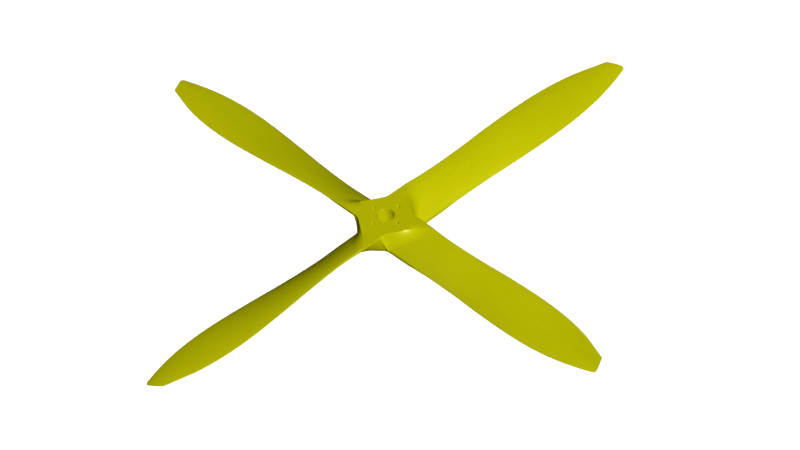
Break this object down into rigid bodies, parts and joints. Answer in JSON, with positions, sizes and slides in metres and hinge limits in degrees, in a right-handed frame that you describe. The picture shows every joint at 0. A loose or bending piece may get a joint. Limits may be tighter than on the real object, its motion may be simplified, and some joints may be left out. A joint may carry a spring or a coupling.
{
  "type": "wooden propeller",
  "caption": "Fixed-pitch laminated wooden aircraft propeller with twisted, tapering blades, slant-cut tips and a flat pinwheel-shaped hub bored for a shaft and hub bolts.",
  "frame": {"origin": "centre of the hub's flat rear face, on the axis of rotation", "axes": "+Z along the axis of rotation, out of the front face (the direction of thrust); +X along one blade and +Y along the next"},
  "size_m": [1.3002, 1.3002, 0.0472],
  "materials": {
    "painted_wood": "satin yellow paint over laminated wood"
  },
  "bodies": {
    "root": {"layer_1_through_board": "painted_wood", "layer_1_blade_2_board": "painted_wood", "layer_1_blade_4_board": "painted_wood", "layer_2_through_board": "painted_wood", "layer_2_blade_1_board": "painted_wood", "layer_2_blade_3_board": "painted_wood", "layer_3_through_board": "painted_wood", "layer_3_blade_2_board": "painted_wood", "layer_3_blade_4_board": "painted_wood", "layer_4_through_board": "painted_wood", "layer_4_blade_1_board": "painted_wood", "layer_4_blade_3_board": "painted_wood", "layer_5_through_board": "painted_wood", "layer_5_blade_2_board": "painted_wood", "layer_5_blade_4_board": "painted_wood", "layer_6_through_board": "painted_wood", "layer_6_blade_1_board": "painted_wood", "layer_6_blade_3_board": "painted_wood", "layer_7_through_board": "painted_wood", "layer_7_blade_2_board": "painted_wood", "layer_7_blade_4_board": "painted_wood"}
  },
  "joints": []
}
